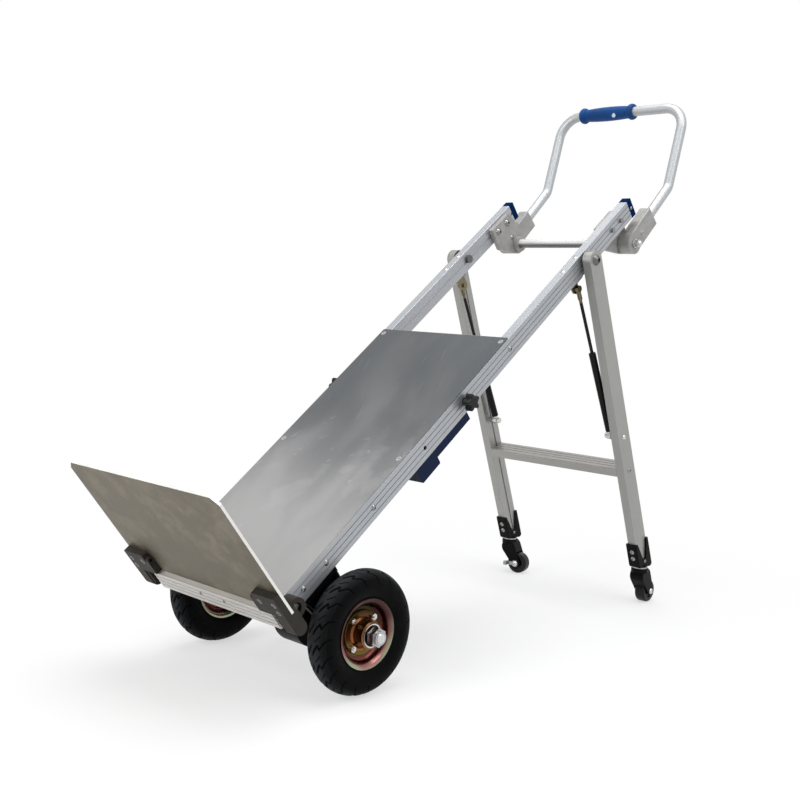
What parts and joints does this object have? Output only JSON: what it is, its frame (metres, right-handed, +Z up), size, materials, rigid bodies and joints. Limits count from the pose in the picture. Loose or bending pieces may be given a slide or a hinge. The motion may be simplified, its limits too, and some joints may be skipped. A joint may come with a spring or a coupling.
{
  "type": "stair climbing hand truck",
  "caption": "Inclined aluminium hand truck with a folding toe plate, air-tyred wheels, a powered climbing crank, folding caster legs on gas struts and a tilting U handle.",
  "frame": {"origin": "on the floor below the middle of the truck's bounding box", "axes": "+X to the truck's right, +Y from the toe plate to the handle, +Z up"},
  "size_m": [0.509, 1.3412, 1.1259],
  "materials": {
    "satin_aluminium": "satin anodised",
    "sheet_aluminium": "mill finish sheet",
    "tube_aluminium": "polished tube",
    "cast_aluminium": "bead blasted casting",
    "dark_casting": "dark coated casting",
    "blue_plastic": "moulded",
    "navy_plastic": "moulded",
    "pale_plastic": "smooth",
    "black_plastic": "moulded",
    "black_metal": "black coat",
    "plated_steel": "bright zinc",
    "yellow_zinc": "yellow passivated zinc",
    "tyre_rubber": "tread rubber",
    "roller_rubber": "smooth rubber"
  },
  "bodies": {
    "frame": {"left_rail": "satin_aluminium", "right_rail": "satin_aluminium", "cross_members": "satin_aluminium", "deck_panel": "sheet_aluminium", "frame_screws": "plated_steel", "rail_end_caps": "blue_plastic", "axle": "plated_steel", "axle_nuts": "plated_steel", "axle_brackets": "black_metal", "gearbox_case": "black_metal", "drive_motor": "black_metal", "controller_box": "black_plastic", "battery_box": "navy_plastic", "handle_brackets": "cast_aluminium", "bracket_bolts": "plated_steel", "cross_shaft": "tube_aluminium", "swivel_bolts": "plated_steel", "strut_brackets": "yellow_zinc", "pivot_bolts": "plated_steel"},
    "toe": {"toe_plate": "sheet_aluminium", "toe_hinges": "dark_casting", "toe_screws": "plated_steel"},
    "climbing_crank": {"crank_shaft": "plated_steel", "crank_arms": "black_metal"},
    "motor_pinion": {"motor_pinion": "plated_steel"},
    "legs": {"left_leg": "satin_aluminium", "right_leg": "satin_aluminium", "leg_cross_bar": "satin_aluminium", "leg_screws": "plated_steel", "strut_ball_studs": "plated_steel", "caster_cups": "black_metal"},
    "handle": {"handle_tube": "tube_aluminium", "grip": "blue_plastic", "swivel_blocks": "cast_aluminium"},
    "grip_button": {"grip_button": "pale_plastic"},
    "caster_brake": {"caster_brake_lever": "plated_steel"},
    "left_wheel": {"left_tyre": "tyre_rubber", "left_rim": "yellow_zinc", "left_hub": "yellow_zinc", "left_hub_bolts": "plated_steel", "left_wheel_bearings": "plated_steel"},
    "left_roller": {"left_roller": "roller_rubber"},
    "left_knob": {"left_star_knob": "black_plastic"},
    "left_strut_cylinder": {"left_strut_cylinder": "black_metal"},
    "left_strut_rod": {"left_strut_rod": "plated_steel"},
    "left_caster": {"left_caster_fork": "black_metal", "left_caster_axle": "plated_steel"},
    "left_caster_wheel": {"left_caster_wheel": "black_plastic"},
    "right_wheel": {"right_tyre": "tyre_rubber", "right_rim": "yellow_zinc", "right_hub": "yellow_zinc", "right_hub_bolts": "plated_steel", "right_wheel_bearings": "plated_steel"},
    "right_roller": {"right_roller": "roller_rubber"},
    "right_knob": {"right_star_knob": "black_plastic"},
    "right_strut_cylinder": {"right_strut_cylinder": "black_metal"},
    "right_strut_rod": {"right_strut_rod": "plated_steel"},
    "right_caster": {"right_caster_fork": "black_metal", "right_caster_axle": "plated_steel"},
    "right_caster_wheel": {"right_caster_wheel": "black_plastic"}
  },
  "joints": [
    {"name": "toe_fold", "type": "hinge", "parent": "frame", "child": "toe", "pos_m": [0, -0.48863, 0.17657], "axis": [-1, 0, 0], "range_deg": [0, 90]},
    {"name": "climbing_crank_turn", "type": "hinge", "parent": "frame", "child": "climbing_crank", "pos_m": [0, -0.34891, 0.11], "axis": [1, 0, 0], "continuous": true},
    {"name": "motor_pinion_turn", "type": "hinge", "parent": "frame", "child": "motor_pinion", "pos_m": [0, -0.32527, 0.16515], "axis": [1, 0, 0], "continuous": true},
    {"name": "legs_fold", "type": "hinge", "parent": "frame", "child": "legs", "pos_m": [0, 0.29718, 0.75881], "axis": [-1, 0, 0], "range_deg": [0, 55]},
    {"name": "handle_tilt", "type": "hinge", "parent": "frame", "child": "handle", "pos_m": [0, 0.45613, 0.79842], "axis": [-1, 0, 0], "range_deg": [-15, 105]},
    {"name": "grip_button_press", "type": "slide", "parent": "handle", "child": "grip_button", "axis": [0, 0.9063, 0.4226], "range_m": [0, 0.002], "stiffness_N_per_m": 600, "springref_m": -0.0005},
    {"name": "left_wheel_turn", "type": "hinge", "parent": "frame", "child": "left_wheel", "pos_m": [0, -0.34891, 0.11], "axis": [1, 0, 0], "continuous": true},
    {"name": "left_roller_turn", "type": "hinge", "parent": "climbing_crank", "child": "left_roller", "pos_m": [0, -0.25491, 0.11], "axis": [1, 0, 0], "continuous": true},
    {"name": "left_knob_turn", "type": "hinge", "parent": "frame", "child": "left_knob", "pos_m": [-0.171, -0.06225, 0.48805], "axis": [-1, 0, 0], "range_deg": [0, 540]},
    {"name": "left_strut_turn", "type": "hinge", "parent": "legs", "child": "left_strut_cylinder", "pos_m": [-0.161, 0.42545, 0.38416], "axis": [-1, 0, 0], "range_deg": [-1, 12]},
    {"name": "left_strut_stroke", "type": "slide", "parent": "left_strut_cylinder", "child": "left_strut_rod", "axis": [0, -0.4002, 0.9164], "range_m": [-0.012, 0.001]},
    {"name": "left_caster_swivel", "type": "hinge", "parent": "legs", "child": "left_caster", "pos_m": [-0.187, 0.52429, 0.084], "axis": [0, 0, 1], "continuous": true},
    {"name": "left_caster_wheel_turn", "type": "hinge", "parent": "left_caster", "child": "left_caster_wheel", "pos_m": [-0.1614, 0.52881, 0.025], "axis": [0.1736, -0.9848, 0], "continuous": true},
    {"name": "caster_brake_turn", "type": "hinge", "parent": "left_caster", "child": "caster_brake", "pos_m": [-0.1614, 0.52881, 0.025], "axis": [0.1736, -0.9848, 0], "range_deg": [0, 30]},
    {"name": "right_wheel_turn", "type": "hinge", "parent": "frame", "child": "right_wheel", "pos_m": [0, -0.34891, 0.11], "axis": [1, 0, 0], "continuous": true},
    {"name": "right_roller_turn", "type": "hinge", "parent": "climbing_crank", "child": "right_roller", "pos_m": [0, -0.25491, 0.11], "axis": [1, 0, 0], "continuous": true},
    {"name": "right_knob_turn", "type": "hinge", "parent": "frame", "child": "right_knob", "pos_m": [0.171, -0.06225, 0.48805], "axis": [1, 0, 0], "range_deg": [0, 540]},
    {"name": "right_strut_turn", "type": "hinge", "parent": "legs", "child": "right_strut_cylinder", "pos_m": [0.161, 0.42545, 0.38416], "axis": [-1, 0, 0], "range_deg": [-1, 12]},
    {"name": "right_strut_stroke", "type": "slide", "parent": "right_strut_cylinder", "child": "right_strut_rod", "axis": [0, -0.4002, 0.9164], "range_m": [-0.012, 0.001]},
    {"name": "right_caster_swivel", "type": "hinge", "parent": "legs", "child": "right_caster", "pos_m": [0.187, 0.52429, 0.084], "axis": [0, 0, 1], "continuous": true},
    {"name": "right_caster_wheel_turn", "type": "hinge", "parent": "right_caster", "child": "right_caster_wheel", "pos_m": [0.18519, 0.55023, 0.025], "axis": [0.9976, 0.0698, 0], "continuous": true}
  ],
  "couplings": [
    {"joint": "motor_pinion_turn", "follows": "climbing_crank_turn", "ratio": -2.3333},
    {"joint": "left_strut_turn", "follows": "legs_fold", "ratio": 0.16724},
    {"joint": "left_strut_stroke", "follows": "legs_fold", "m_per_rad": -0.0007124},
    {"joint": "right_strut_turn", "follows": "legs_fold", "ratio": 0.16724},
    {"joint": "right_strut_stroke", "follows": "legs_fold", "m_per_rad": -0.0007124}
  ]
}
